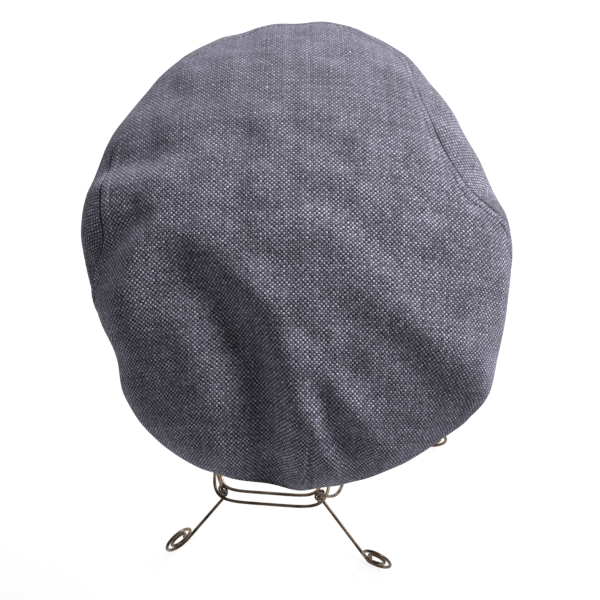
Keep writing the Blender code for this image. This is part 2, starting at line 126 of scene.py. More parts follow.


# %% [markdown]
# Every new piece is a grid of points. One function turns rows and columns of points into a mesh. For cloth
# it also stores a map in metres, so that the weave follows the surface at its real size, and for the crown
# and side panels how much raised nap and painted sheen hide that weave.

# %% From a grid of points to a mesh
def grid_faces(rows, columns, round_columns=False, flip=False):
    """Quads between neighbouring rows and columns; the last column meets the first where it goes round."""
    i = np.arange(rows - 1)[:, None]
    j = np.arange(columns if round_columns else columns - 1)[None, :]
    k = (j + 1) % columns
    corners = [i * columns + j, (i + 1) * columns + j, (i + 1) * columns + k, i * columns + k]
    if flip:
        corners.reverse()
    return np.stack(corners, axis=-1).reshape(-1, 4)


def make_piece(name, points, faces, finish, cloth_map=None, nap_and_sheen=None):
    """A smooth mesh that rides on the part's one body. Points and cloth_map are in metres; the share at each
    point of raised nap and painted sheen is stored as a point attribute."""
    mesh = bpy.data.meshes.new(name)
    mesh.from_pydata(points.reshape(-1, 3).tolist(), [], faces)
    if nap_and_sheen is not None:
        mesh.attributes.new("nap_and_sheen", "FLOAT", "POINT").data.foreach_set("value", nap_and_sheen.ravel())
    if cloth_map is not None:
        corner_point = np.empty(len(mesh.loops), np.int32)
        mesh.loops.foreach_get("vertex_index", corner_point)
        layer = mesh.uv_layers.new(name="cloth")
        layer.data.foreach_set("uv", cloth_map.reshape(-1, 2)[corner_point].ravel())
    mesh.shade_smooth()
    mesh.materials.append(finish)
    piece = bpy.data.objects.new(name, mesh)
    bpy.context.scene.collection.objects.link(piece)
    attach(piece, "root")
    return piece


# %% [markdown]
# A material is a small network of nodes. This one function adds a node, sets it up and links it, so each
# recipe below reads as a list of steps.

# %% One function for all nodes
def add_node(tree, kind, inputs, output=0, **settings):
    """Adds a node, gives it its settings, sets or links its inputs, and hands back one of its outputs."""
    node = tree.nodes.new(kind)
    for name, value in settings.items():
        setattr(node, name, value)
    for name, value in inputs.items():
        if isinstance(value, bpy.types.NodeSocket):
            tree.links.new(value, node.inputs[name])
        else:
            node.inputs[name].default_value = value
    return node.outputs[output]


def new_finish(name):
    """An empty material with its Principled shader."""
    finish = bpy.data.materials.new(name)
    finish.use_nodes = True
    return finish, finish.node_tree, finish.node_tree.nodes["Principled BSDF"]


# %% [markdown]
# The cloth is wool tweed in a plain weave: dark navy warp and pale lilac-grey weft pass over each other in
# turn, so the pale threads show as dots on a slant, 1.27 mm from thread to thread. The yarn is uneven, so
# the threads wander a little, each crossing has its own tone, and here and there a pale fleck shows. Wool
# scatters light in its nap, which makes the cloth paler where it turns away, so the shader has some sheen and
# hardly any gloss. Where the point attribute for nap and sheen is high, the weave fades into one even tone: a
# little of it is raised nap, and its rise towards the back and the right is painted sheen, standing in for the
# lamp and the grazing view that make the cloth look pale there.

# %% Tweed
THREAD = 0.00127
DRIFT_SIZE = 0.006
HEATHER_SIZE = 0.0016
PATCH_SIZE = 0.022
WEFT_FROM, WEFT_FULL = -0.03, 0.52
THREAD_WEIGHT, HEATHER_WEIGHT, PATCH_WEIGHT = 0.45, 3.0, 1.5
WEIGHTED_LEAST, WEIGHTED_MOST = 1.8, 3.6
DARKEST, LIGHTEST = 0.5, 1.5
WORN_WEFT = 0.22
WEFT_BELOW = 0.16
FLECK_FROM = 0.997
FUZZ = 0.8
WEAVE_RELIEF = 0.0003
# The even tone that raised nap and painted sheen lay over the weave
NAP_AND_SHEEN_SHARE = 0.25
CROWN_TONE = 0.67
# The peak's lip wears the same tweed drawn darker: painted shade under the crown's rolled edge
PEAK_SHADED_TONE = 0.55
WARP_COLOUR = "#1E1C29"
WEFT_COLOUR = "#E9E5FA"
FLECK_COLOUR = "#E0DEE8"
NAP_COLOUR = "#ADA8C4"


def tweed(name, tone):
    """Wool tweed. A point's two thread counts are its cloth map over the thread spacing; the sign of
    sin(pi * across) times sin(pi * along) says which of the two threads lies on top."""
    finish, tree, shader = new_finish(name)
    cloth = add_node(tree, "ShaderNodeUVMap", {}, uv_map="cloth")
    wander = {"Vector": cloth, "Scale": 1 / DRIFT_SIZE, "Detail": 1.0}
    drift = add_node(tree, "ShaderNodeTexNoise", wander, 1)
    drift = add_node(tree, "ShaderNodeVectorMath", {0: drift, 1: (0.5, 0.5, 0.5)}, operation="SUBTRACT")
    drift = add_node(tree, "ShaderNodeVectorMath", {0: drift, "Scale": THREAD}, operation="SCALE")
    place = add_node(tree, "ShaderNodeVectorMath", {0: cloth, 1: drift}, operation="ADD")
    count = add_node(tree, "ShaderNodeVectorMath", {0: place, "Scale": 1 / THREAD}, operation="SCALE")

    angle = add_node(tree, "ShaderNodeVectorMath", {0: count, "Scale": math.pi}, operation="SCALE")
    wave = add_node(tree, "ShaderNodeVectorMath", {0: angle}, operation="SINE")
    parts = add_node(tree, "ShaderNodeSeparateXYZ", {0: wave}).node
    across, along = parts.outputs[0], parts.outputs[1]
    crossing = add_node(tree, "ShaderNodeMath", {0: across, 1: along}, operation="MULTIPLY")
    over = add_node(
        tree,
        "ShaderNodeMapRange",
        {"Value": crossing, "From Min": WEFT_FROM, "From Max": WEFT_FULL},
        interpolation_type="SMOOTHSTEP",
    )

    cell = add_node(tree, "ShaderNodeVectorMath", {0: count}, operation="FLOOR")
    cell_parts = add_node(tree, "ShaderNodeSeparateXYZ", {0: cell}).node
    row, column = cell_parts.outputs[0], cell_parts.outputs[1]
    row_tone = add_node(tree, "ShaderNodeTexWhiteNoise", {"W": row}, noise_dimensions="1D")
    column_tone = add_node(tree, "ShaderNodeTexWhiteNoise", {"W": column}, noise_dimensions="1D")
    cell_tone = add_node(tree, "ShaderNodeTexWhiteNoise", {"Vector": cell}, noise_dimensions="2D")
    heather = add_node(
        tree,
        "ShaderNodeTexNoise",
        {"Vector": cloth, "Scale": 1 / HEATHER_SIZE, "Detail": 3.0, "Roughness": 0.7},
    )
    patches = add_node(tree, "ShaderNodeTexNoise", {"Vector": cloth, "Scale": 1 / PATCH_SIZE, "Detail": 2.0})

    tones = add_node(tree, "ShaderNodeMath", {0: row_tone, 1: column_tone}, operation="ADD")
    tones = add_node(tree, "ShaderNodeMath", {0: tones, 1: THREAD_WEIGHT}, operation="MULTIPLY")
    for noise, weight in ((heather, HEATHER_WEIGHT), (patches, PATCH_WEIGHT)):
        tones = add_node(tree, "ShaderNodeMath", {0: noise, 1: weight, 2: tones}, operation="MULTIPLY_ADD")
    value = add_node(
        tree,
        "ShaderNodeMapRange",
        {
            "Value": tones,
            "From Min": WEIGHTED_LEAST,
            "From Max": WEIGHTED_MOST,
            "To Min": DARKEST * tone,
            "To Max": LIGHTEST * tone,
        },
    )

    spun = add_node(tree, "ShaderNodeMapRange", {"Value": cell_tone, "To Min": WORN_WEFT, "To Max": 1.0})
    on_top = add_node(tree, "ShaderNodeMath", {0: over, 1: spun}, operation="MULTIPLY")
    under = add_node(tree, "ShaderNodeMapRange", {"Value": cell_tone, "To Min": WEFT_BELOW, "To Max": 0.0})
    pale = add_node(tree, "ShaderNodeMath", {0: on_top, 1: under}, operation="ADD")
    # Where the point attribute is high, the weave fades to one even tone: raised nap, and painted sheen
    # towards the back and right
    nap_and_sheen = add_node(tree, "ShaderNodeAttribute", {}, 2, attribute_name="nap_and_sheen")
    pale = add_node(tree, "ShaderNodeMix", {"Factor": nap_and_sheen, "A": pale, "B": NAP_AND_SHEEN_SHARE})
    weave = add_node(
        tree,
        "ShaderNodeMix",
        {"Factor": pale, "A": colour(WARP_COLOUR), "B": colour(WEFT_COLOUR)},
        2,
        data_type="RGBA",
    )
    fleck = add_node(tree, "ShaderNodeMath", {0: cell_tone, 1: FLECK_FROM}, operation="GREATER_THAN")
    fleck = add_node(tree, "ShaderNodeMath", {0: fleck, 1: over}, operation="MULTIPLY")
    weave = add_node(
        tree, "ShaderNodeMix", {"Factor": fleck, "A": weave, "B": colour(FLECK_COLOUR)}, 2, data_type="RGBA"
    )
    shade = add_node(tree, "ShaderNodeVectorMath", {0: weave, "Scale": value}, operation="SCALE")

    height = add_node(tree, "ShaderNodeMath", {0: crossing}, operation="ABSOLUTE")
    height = add_node(tree, "ShaderNodeMath", {0: heather, 1: FUZZ, 2: height}, operation="MULTIPLY_ADD")
    bump = add_node(tree, "ShaderNodeBump", {"Height": height, "Strength": 0.7, "Distance": WEAVE_RELIEF})
    tree.links.new(shade, shader.inputs["Base Color"])
    tree.links.new(bump, shader.inputs["Normal"])
    shader.inputs["Roughness"].default_value = 0.95
    shader.inputs["Specular IOR Level"].default_value = 0.2
    shader.inputs["Sheen Weight"].default_value = 0.35
    shader.inputs["Sheen Roughness"].default_value = 0.55
    shader.inputs["Sheen Tint"].default_value = colour(NAP_COLOUR)
    return finish


crown_tweed = tweed("wool_tweed_plain_weave", CROWN_TONE)
# The peak gets a darker copy of the crown's tweed, painted shade under the crown's rolled edge
peak_tweed_shaded = tweed("wool_tweed_over_board_shaded", PEAK_SHADED_TONE)
print("tweed:", 1000 * THREAD, "mm from thread to thread")


# %% [markdown]
# The stand is mild steel wire, drawn round and left to brown. The brown film is thin, so the metal still
# glints along its length, and handling has worn it brighter in places.

# %% Browned steel
STEEL_COLOUR = "#86725E"
STEEL_DARK = "#41332A"
BROWNED_BELOW, BARE_ABOVE = 0.35, 0.65
BROWNED_ROUGHNESS, BARE_ROUGHNESS = 0.5, 0.32
DRAWN_GRAIN = 0.0008
GRAIN_RELIEF = 0.0001
WIRE_SPOT = 0.009
BINDING_SPOT = 0.003


def browned_steel(name, spot):
    """Drawn wire under a brown film: noise in patches of the given size mixes bare and browned steel."""
    finish, tree, shader = new_finish(name)
    place = add_node(tree, "ShaderNodeTexCoord", {}, "Object")
    film = add_node(tree, "ShaderNodeTexNoise", {"Vector": place, "Scale": 1 / spot, "Detail": 4.0})
    film = add_node(
        tree,
        "ShaderNodeMapRange",
        {"Value": film, "From Min": BROWNED_BELOW, "From Max": BARE_ABOVE},
    )
    tint = add_node(
        tree,
        "ShaderNodeMix",
        {"Factor": film, "A": colour(STEEL_DARK), "B": colour(STEEL_COLOUR)},
        2,
        data_type="RGBA",
    )
    rough = add_node(
        tree,
        "ShaderNodeMapRange",
        {"Value": film, "To Min": BROWNED_ROUGHNESS, "To Max": BARE_ROUGHNESS},
    )
    drawn = add_node(tree, "ShaderNodeTexNoise", {"Vector": place, "Scale": 1 / DRAWN_GRAIN, "Detail": 2.0})
    bump = add_node(tree, "ShaderNodeBump", {"Height": drawn, "Strength": 0.25, "Distance": GRAIN_RELIEF})
    tree.links.new(tint, shader.inputs["Base Color"])
    tree.links.new(rough, shader.inputs["Roughness"])
    tree.links.new(bump, shader.inputs["Normal"])
    shader.inputs["Metallic"].default_value = 0.9
    return finish


wire_steel = browned_steel("browned_mild_steel_wire", WIRE_SPOT)
binding_steel = browned_steel("browned_binding_wire", BINDING_SPOT)
print("steel finishes:", wire_steel.name, binding_steel.name)


# %% [markdown]
# The cap is made round a head: an oval opening, a wide soft crown over it, and a short peak in front that
# the crown is pulled down over. These sizes are the part's own. The crown's rim isn't a plain oval: the worn
# cloth bulges over the peak's corners and pulls in beside them, which a table of shares round the cap gives.

# %% Sizes of the cap
HEAD_WIDTH = 0.168
HEAD_LENGTH = 0.204
HEAD_SET_BACK = 0.014
CROWN_HALF_WIDTH = 0.121
CROWN_FRONT = 0.132
CROWN_BACK = 0.138
POLE_HEIGHT = 0.072
CROWN_LEAN = 0.10
FOLD_HEIGHT = 0.010
FOLD_WIDTH = 0.010
CLOTH = 0.0018
SEAM_GAP = 0.0007
PEAK_INSET = 0.0045
PEAK_FALL = 0.42
PEAK_BOARD = 0.0035
PEAK_FULL_ANGLE = 48.0
PEAK_CORNER_ANGLE = 78.0
PEAK_TURN_IN = 0.005
WALL_START = 10.0
WALL_AFTER_CORNER = 2.0
CLEARANCE = 0.0004
CAP_TILT = 8.0
HEM_HEIGHT = 0.280

# Angle, reach as a share of the crown's oval, height as a share of POLE_HEIGHT, and how squarely the top
# turns down to the rim
RIM = np.array([
    (-180, 1.042, 0.60, 0.50),
    (-165, 1.050, 0.60, 0.50),
    (-150, 1.047, 0.58, 0.50),
    (-130, 1.022, 0.55, 0.50),
    (-112, 1.035, 0.52, 0.50),
    (-96, 1.040, 0.48, 0.52),
    (-80, 1.022, 0.42, 0.55),
    (-66, 1.000, 0.27, 0.60),
    (-58, 0.985, 0.15, 0.62),
    (-50, 1.046, 0.02, 0.66),
    (-36, 1.061, -0.08, 0.68),
    (-18, 1.038, -0.12, 0.66),
    (0, 1.028, -0.14, 0.62),
    (18, 1.030, -0.12, 0.62),
    (34, 1.046, -0.06, 0.62),
    (48, 1.073, 0.04, 0.62),
    (60, 1.034, 0.20, 0.58),
    (74, 0.990, 0.38, 0.52),
    (90, 0.980, 0.47, 0.50),
    (108, 0.922, 0.52, 0.50),
    (126, 0.923, 0.55, 0.50),
    (142, 0.970, 0.58, 0.50),
    (156, 1.025, 0.60, 0.50),
    (168, 1.050, 0.60, 0.50),
])
REACH_COLUMN, HEIGHT_COLUMN, SQUARENESS_COLUMN = 1, 2, 3

# Seam between the top and the side panels: angle, and how far down the meridian it runs (1 is the rim and 2
# the bottom edge; above 2 the top goes all the way down)
SEAM = np.array([
    (-180, 0.86),
    (-150, 0.80),
    (-130, 0.73),
    (-112, 0.76),
    (-96, 0.70),
    (-84, 0.74),
    (-74, 1.05),
    (-66, 1.45),
    (-61, 1.80),
    (-50, 2.60),
    (0, 2.60),
    (50, 2.60),
    (61, 1.80),
    (68, 1.55),
    (76, 1.30),
    (84, 1.05),
    (90, 0.86),
    (97, 0.64),
    (108, 0.61),
    (126, 0.61),
    (140, 0.66),
    (150, 0.76),
])
DOWN_COLUMN = 1
print("head opening round:", round(math.pi * (HEAD_WIDTH + HEAD_LENGTH) / 2, 3), "m")


# %% [markdown]
# Down a meridian of the cap, 0 is the middle of the crown, 1 its rim and 2 the bottom edge. Above the rim
# the cloth is a flattened dome. Below it, the cloth is rolled under onto the peak in front, and elsewhere it
# comes down as a wall to the head's opening. The solids have this same form, so the fine cloth lies on them.

# %% The cap without its folds
def ellipse_reach(angle, half_width, half_length, set_back, start=(0.0, 0.0)):
    """How far it is from start, at each angle, to an ellipse whose middle is set_back behind the origin: the
    larger root of the ellipse's quadratic along that ray."""
    way = bearing(angle)
    x, y = start[0], start[1] - set_back
    a = (way[..., 0] / half_width) ** 2 + (way[..., 1] / half_length) ** 2
    b = 2 * (way[..., 0] * x / half_width**2 + way[..., 1] * y / half_length**2)
    c = (x / half_width) ** 2 + (y / half_length) ** 2 - 1
    return (-b + np.sqrt(b**2 - 4 * a * c)) / (2 * a)


def head_reach(angle):
    """Reach of the head's opening."""
    return ellipse_reach(angle, HEAD_WIDTH / 2, HEAD_LENGTH / 2, HEAD_SET_BACK)


def rim(angle):
    """Reach and height of the crown's rim: the oval's reach times its share, and the height's share."""
    way = bearing(angle)
    length = np.where(way[..., 1] < 0, CROWN_FRONT, CROWN_BACK)
    oval = 1 / np.hypot(way[..., 0] / CROWN_HALF_WIDTH, way[..., 1] / length)
    return oval * around(angle, RIM, REACH_COLUMN), POLE_HEIGHT * around(angle, RIM, HEIGHT_COLUMN)


def from_front(angle):
    """How many degrees an angle is from the front, on either side."""
    return abs((np.asarray(angle, float) + 180.0) % 360.0 - 180.0)


def peak_width(angle):
    """How far the peak stands out from the hem: full in front, then a quarter ellipse to its corners."""
    turn_in = (from_front(angle) - PEAK_FULL_ANGLE) / (PEAK_CORNER_ANGLE - PEAK_FULL_ANGLE)
    turn_in = np.clip(turn_in, 0.0, 1.0)
    reach, _ = rim(angle)
    return (reach - PEAK_INSET - head_reach(angle)) * np.sqrt(1 - turn_in**2)


def sidewall(angle):
    """0 where the crown is rolled under onto the peak, 1 where it comes down to the hem as a wall."""
    away = from_front(angle) - PEAK_FULL_ANGLE - WALL_START
    return smooth(away / (PEAK_CORNER_ANGLE + WALL_AFTER_CORNER - PEAK_FULL_ANGLE - WALL_START))


def bottom_edge(angle):
    """Reach and height of the cloth's bottom edge: on the peak in front, and at the hem elsewhere."""
    out = np.clip(peak_width(angle) - PEAK_TURN_IN, 0.0, None)
    height = -PEAK_FALL * np.clip(out - CLOTH * sidewall(angle), 0.0, None)
    return head_reach(angle) + out, height + CLEARANCE


def smooth_cap(angle, down):
    """Above the rim: reach times sin(90 down), and a height that falls with cos(90 down) to a power. Below
    it: a quarter turn inwards over the peak, mixed with a straight wall at the sides."""
    angle, down = np.broadcast_arrays(np.asarray(angle, float), np.asarray(down, float))
    reach, rim_height = rim(angle)
    edge_reach, edge_height = bottom_edge(angle)
    squareness = 2 * around(angle, RIM, SQUARENESS_COLUMN)
    top_turn = np.radians(90 * np.clip(down, 0, 1))
    below = np.clip(down - 1, 0, 1)
    wall = sidewall(angle)
    inward = (1 - wall) * (1 - np.cos(np.radians(90 * below))) + wall * smooth(below)
    fall = (1 - wall) * np.sin(np.radians(90 * below)) + wall * below
    on_top = down <= 1
    radius = np.where(on_top, reach * np.sin(top_turn), reach - (reach - edge_reach) * inward)
    rise = np.clip(np.cos(top_turn), 0, 1) ** squareness
    height = np.where(
        on_top,
        rim_height + (POLE_HEIGHT - rim_height) * rise,
        rim_height - (rim_height - edge_height) * fall,
    )
    plan = bearing(angle) * radius[..., None]
    lean = CROWN_LEAN * plan[..., 1] * np.where(on_top, np.cos(top_turn) ** 2, 0)
    return np.concatenate([plan, (height + lean)[..., None]], axis=-1)


def outward(angle, down):
    """Unit normals of the cap without its folds, from two small steps on it. A step round the pole has no
    length, so the pole's normal comes from just beside it."""
    turn_step, down_step, beside_pole = 0.05, 0.0005, 0.02
    place = np.clip(down, beside_pole, 2 - down_step)
    here = smooth_cap(angle, place)
    downwards = smooth_cap(angle, place + down_step) - here
    sideways = smooth_cap(angle + turn_step, place) - here
    return unit(np.cross(downwards, sideways))


def seam_down(angle):
    """How far down the meridian the seam runs."""
    return np.minimum(around(angle, SEAM, DOWN_COLUMN), 2.0)


print("crown:", 2 * CROWN_HALF_WIDTH, "by", CROWN_FRONT + CROWN_BACK, "m before its folds")


# %% [markdown]
# Wear leaves folds in a soft crown, and they are what makes it this cap. Each fold is a ridge or valley
# along a bent line, with a bell-shaped section. The deepest runs from the left side to the front. The small
# ones fan out above the peak, where the cloth is gathered. Low waves add the unevenness of handled cloth.

# %% Folds
# Each fold runs through three places, given by angle and share of the rim's reach. Then come its width as a
# share of FOLD_WIDTH, and its height at the three places as shares of FOLD_HEIGHT, a valley below 0
FOLDS = (
    (-66, 0.62, -23, 0.62, -8, 0.98, 1.4, -0.40, -1.25, -1.10),
    (-72, 0.62, -32, 0.40, -8, 0.64, 1.1, 0.05, 0.30, 0.20),
    (-52, 0.66, -38, 0.78, -30, 0.92, 2.4, 0.08, 0.12, 0.08),
    (-6, 0.60, -2, 0.80, -1, 0.98, 0.9, 0.25, 0.50, 0.35),
    (2, 0.74, 5, 0.86, 9, 1.00, 0.6, 0.10, 0.35, 0.20),
    (6, 0.73, 8, 0.87, 13, 1.00, 0.6, -0.10, -0.30, -0.10),
    (9, 0.66, 14, 0.80, 18, 0.90, 0.7, 0.05, 0.28, 0.05),
    (11, 0.82, 14, 0.90, 17, 0.97, 0.6, -0.05, -0.25, -0.05),
    (31, 0.22, 43, 0.57, 49, 0.97, 1.4, 0.08, 0.40, 0.42),
    (26, 0.55, 34, 0.78, 38, 0.96, 1.5, -0.05, -0.20, -0.12),
    (-133, 0.50, -113, 0.66, -108, 1.00, 1.2, -0.10, -0.32, -0.30),
    (-127, 0.44, -106, 0.66, -101, 0.90, 1.0, 0.03, 0.22, 0.20),
    (-97, 0.56, -94, 0.75, -91, 0.92, 1.0, 0.03, 0.20, 0.20),
    (-90, 0.70, -84, 0.83, -78, 0.96, 1.3, -0.15, -0.65, -0.60),
    (-92, 0.56, -77, 0.74, -60, 0.93, 1.1, 0.08, 0.42, 0.50),
    (143, 0.92, 122, 0.81, 106, 0.84, 0.7, -0.20, -0.25, -0.10),
    (-165, 1.00, -165, 0.86, -163, 0.70, 0.9, -0.30, -0.18, -0.05),
    (-151, 0.80, -147, 0.68, -140, 0.56, 1.0, -0.08, -0.15, -0.05),
    (-42, 0.96, -30, 0.95, -15, 0.91, 0.5, 0.05, 0.10, 0.05),
)
FOLD_STEPS = 33


def plan_place(angle, share):
    """A place in plan: the rim's reach at the angle, times the share."""
    reach, _ = rim(angle)
    return bearing(angle) * reach * share


def fold_height(plan):
    """Sum over the folds of height times exp(-(distance / width) squared), where the distance is to the
    nearest-acting of the steps along the fold's bent line."""
    total = np.zeros(plan.shape[:-1])
    for row in FOLDS:
        start, middle, end = (plan_place(row[i], row[i + 1]) for i in (0, 2, 4))
        width, (low, mid, high) = row[6] * FOLD_WIDTH, row[7:10]
        strongest = np.zeros_like(total)
        for t in np.linspace(0, 1, FOLD_STEPS):
            bend = 2 * t * (1 - t)
            place = (1 - t) ** 2 * start + bend * (2 * middle - (start + end) / 2) + t**2 * end
            height = (1 - t) ** 2 * low + bend * (2 * mid - (low + high) / 2) + t**2 * high
            value = height * np.exp(-((plan - place) ** 2).sum(axis=-1) / width**2)
            strongest = np.where(abs(value) > abs(strongest), value, strongest)
        total += strongest * FOLD_HEIGHT
    return total


WAVE_COUNT = 40
WAVE_LENGTHS = (0.012, 0.045)
WAVE_STEEPNESS = 0.0035
WAVE_RISE = 0.7
WAVE_SEED = 7
wave_draw = np.random.default_rng(WAVE_SEED)
wave_length = wave_draw.uniform(*WAVE_LENGTHS, WAVE_COUNT)
wave_way = bearing(wave_draw.uniform(0, 360, WAVE_COUNT))
wave_phase = wave_draw.uniform(0, 2 * math.pi, WAVE_COUNT)


def handled(points):
    """The slight unevenness of handled cloth: a sum of sine waves in all directions in plan, each as high as
    WAVE_STEEPNESS times its length, bent a little by the height of the place."""
    total = np.zeros(points.shape[:-1])
    for length, way, phase in zip(wave_length, wave_way, wave_phase):
        along = points[..., :2] @ way + WAVE_RISE * points[..., 2]
        total += WAVE_STEEPNESS * length * np.sin(2 * math.pi * along / length + phase)
    return total


HEM_FADE = 0.8
FOLD_LEFT = 0.15
FOLD_FADED, FOLD_FADE = 1.06, 0.24
RIM_CALM, RIM_CALM_WIDTH = 0.7, 0.15


def cap_surface(angle, down):
    """The cap's outer surface with its folds, in the cap's own frame. At the rim they fade to FOLD_LEFT, and
    at the hem they end. The waves are lower along the rim, where the cloth is bent over."""
    angle, down = np.broadcast_arrays(np.asarray(angle, float), np.asarray(down, float))
    points = smooth_cap(angle, down)
    at_hem = np.clip((2 - down) / HEM_FADE, 0, 1)
    fade = (FOLD_LEFT + (1 - FOLD_LEFT) * smooth((FOLD_FADED - down) / FOLD_FADE)) * at_hem
    calm = 1 - RIM_CALM * np.exp(-(((down - 1) / RIM_CALM_WIDTH) ** 2))
    height = fold_height(points[..., :2]) * fade + handled(points) * at_hem * calm
    return points + outward(angle, down) * height[..., None]


# A little raised nap everywhere, and painted sheen that grows towards the back and the right, where the lamp
# and the grazing view make the cloth look pale
NAP_LEAST = 0.08
PAINTED_SHEEN_AT_BACK = 0.52
PAINTED_SHEEN_AT_RIGHT = 0.15
PAINTED_SHEEN_START = 0.02
PAINTED_SHEEN_RANGE_BACK = 0.15
PAINTED_SHEEN_RANGE_RIGHT = 0.12


def nap_and_sheen_share(points):
    """How much raised nap and painted sheen hide the weave at points in the cap's frame: a little nap
    everywhere, and painted sheen that grows towards the back and the right."""
    back = smooth((points[..., 1] + PAINTED_SHEEN_START) / PAINTED_SHEEN_RANGE_BACK)
    right = smooth((points[..., 0] - PAINTED_SHEEN_START) / PAINTED_SHEEN_RANGE_RIGHT)
    return NAP_LEAST + PAINTED_SHEEN_AT_BACK * back + PAINTED_SHEEN_AT_RIGHT * right


print("folds:", len(FOLDS), "and", WAVE_COUNT, "slight waves")


# %% [markdown]
# The cap sits on its stand with the peak a little low. The outer ring in the frame says where the stand's
# middle is, and the cap's place follows from that.

# %% Where the cap sits
STAND_X = -0.0213
STAND_Y = -0.0041
ring_low, ring_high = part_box("ring_outer")
stand_middle = np.array([(ring_low.x + ring_high.x) / 2, (ring_low.y + ring_high.y) / 2])
cap_middle = stand_middle - (STAND_X, STAND_Y)


def seated(points):
    """From the cap's frame to the part's: tilted about the X axis, raised to the hem's height, centred."""
    turn = math.radians(CAP_TILT)
    x, y, z = np.moveaxis(points, -1, 0)
    back = y * math.cos(turn) - z * math.sin(turn) + cap_middle[1]
    up = y * math.sin(turn) + z * math.cos(turn) + HEM_HEIGHT
    return np.stack([x + cap_middle[0], back, up], axis=-1)


print("cap's middle in plan:", cap_middle)


# %% [markdown]
# Sewn seams are what part a good cap from a lump. The seam allowance is pressed under the top, so the top
# stands a little proud along the seam, and a row of stitching sinks a line beside it. Both edges roll down
# into the seam. The distance to it is measured square to it, so the welt keeps its width as the seam turns.

# %% Seams
WELT_WIDTH = 0.0060
WELT_HEIGHT = 0.00050
WELT_SLOPE = 0.0016
SEAM_FADE = 0.2
STITCH_SINK = 0.00030
STITCH_WIDTH = 0.00055
ROLL_RADIUS = 0.0018
TUCK = 0.0016
# The top ends, and the side panels begin, at these shares of SEAM_GAP below the seam's line
TOP_ENDS = 0.4
PANEL_BEGINS = 0.6
SEAM_STEPS = 0.001 * np.array([0.0, 0.2, 0.5, 0.9, 1.4, 2.0, 3.0, 4.2, 5.2, 5.7, 6.0, 6.3, 6.8, 8.0, 10.0])


def seam_scale(angle):
    """Metres per unit of down at the seam, and how much longer the way down is than the way square to it."""
    turn_step, down_step = 1.0, 0.01
    seam = seam_down(angle)
    here = smooth_cap(angle, seam)
    down_length = np.linalg.norm(smooth_cap(angle, seam - down_step) - here, axis=-1) / down_step
    turn_length = np.linalg.norm(smooth_cap(angle + turn_step, seam) - here, axis=-1) / turn_step
    run = (seam_down(angle + turn_step) - seam_down(angle - turn_step)) / (2 * turn_step)
    return down_length, np.hypot(1, run * down_length / turn_length)


def rolled_edge(distance):
    """How far the cloth sinks as it rolls down at an edge: a quarter circle of ROLL_RADIUS."""
    into = np.clip(ROLL_RADIUS - distance, 0, ROLL_RADIUS)
    return ROLL_RADIUS - np.sqrt(ROLL_RADIUS**2 - into**2)


def sewn(angle, distance):
    """Height of the top beside its edge: the welt, less the stitched line and the rolled edge. Welt and line
    fade out in front, where the top has no seam and runs down onto the peak."""
    at_seam = smooth((2.0 - seam_down(angle)) / SEAM_FADE)
    welt = WELT_HEIGHT * smooth((WELT_WIDTH + WELT_SLOPE / 2 - distance) / WELT_SLOPE)
    line = STITCH_SINK * np.exp(-(((distance - WELT_WIDTH) / STITCH_WIDTH) ** 2))
    return at_seam * (welt - line) - rolled_edge(distance)


def cloth_map(points, angle):
    """Lays the cloth flat from its first row: each meridian keeps its length and its direction."""
    steps = np.linalg.norm(np.diff(points, axis=0), axis=-1)
    length = np.concatenate([np.zeros((1, points.shape[1])), np.cumsum(steps, axis=0)])
    length = length + np.linalg.norm(points[0] - cap_surface(0.0, 0.0), axis=-1)
    return bearing(angle)[None] * length[..., None]


print("welt:", 1000 * WELT_WIDTH, "mm wide")


# %% [markdown]
# The top is one piece of cloth: it covers the crown, and in front it is pulled down over the peak. A short
# dart near the middle of the front takes in spare cloth, so the weave turns beside it, more on the left.

# %% The crown's top
CROWN_COLUMNS = 280
CROWN_ROWS = 84
DART_ANGLE = 2.0
DART_TOP = 0.62
DART_END = 1.08
DART_TOP_FADE = 0.12
DART_END_FADE = 0.16
DART_WIDTH = 0.0012
DART_DEPTH = 0.0016
DART_COLUMNS = 21
DART_SPREAD = 3.0
DART_TURN_LEFT = 13.0
DART_TURN_RIGHT = -3.0
DART_REACH = 0.030

crown_angles = np.union1d(
    np.arange(CROWN_COLUMNS) * 360.0 / CROWN_COLUMNS - 180.0,
    DART_ANGLE + np.linspace(-DART_SPREAD, DART_SPREAD, DART_COLUMNS),
)
down_length, slant = seam_scale(crown_angles)
has_seam = seam_down(crown_angles) < 2.0
seam_at = seam_down(crown_angles) + TOP_ENDS * SEAM_GAP * slant / down_length * has_seam
close = SEAM_STEPS[::-1, None] * slant / down_length
start_row = seam_at - close[0]
shares = np.linspace(0, 1, CROWN_ROWS)[1:-1, None]
crown_down = np.concatenate([shares * start_row, seam_at - close])
square_distance = (seam_at - crown_down) * down_length / slant

crown = cap_surface(crown_angles[None], crown_down)
crown_out = outward(crown_angles[None], crown_down)
dart_distance = np.radians(crown_angles - DART_ANGLE)[None] * np.linalg.norm(crown[..., :2], axis=-1)
dart_begins = smooth((crown_down - DART_TOP) / DART_TOP_FADE)
dart_ends = smooth((DART_END - crown_down) / DART_END_FADE)
dart = DART_DEPTH * (dart_begins * dart_ends) * np.exp(-((dart_distance / DART_WIDTH) ** 2))
crown = crown + crown_out * (sewn(crown_angles[None], square_distance) - dart)[..., None]
tuck = crown[-1:] - TUCK * crown_out[-1:]
crown = np.concatenate([crown, tuck])

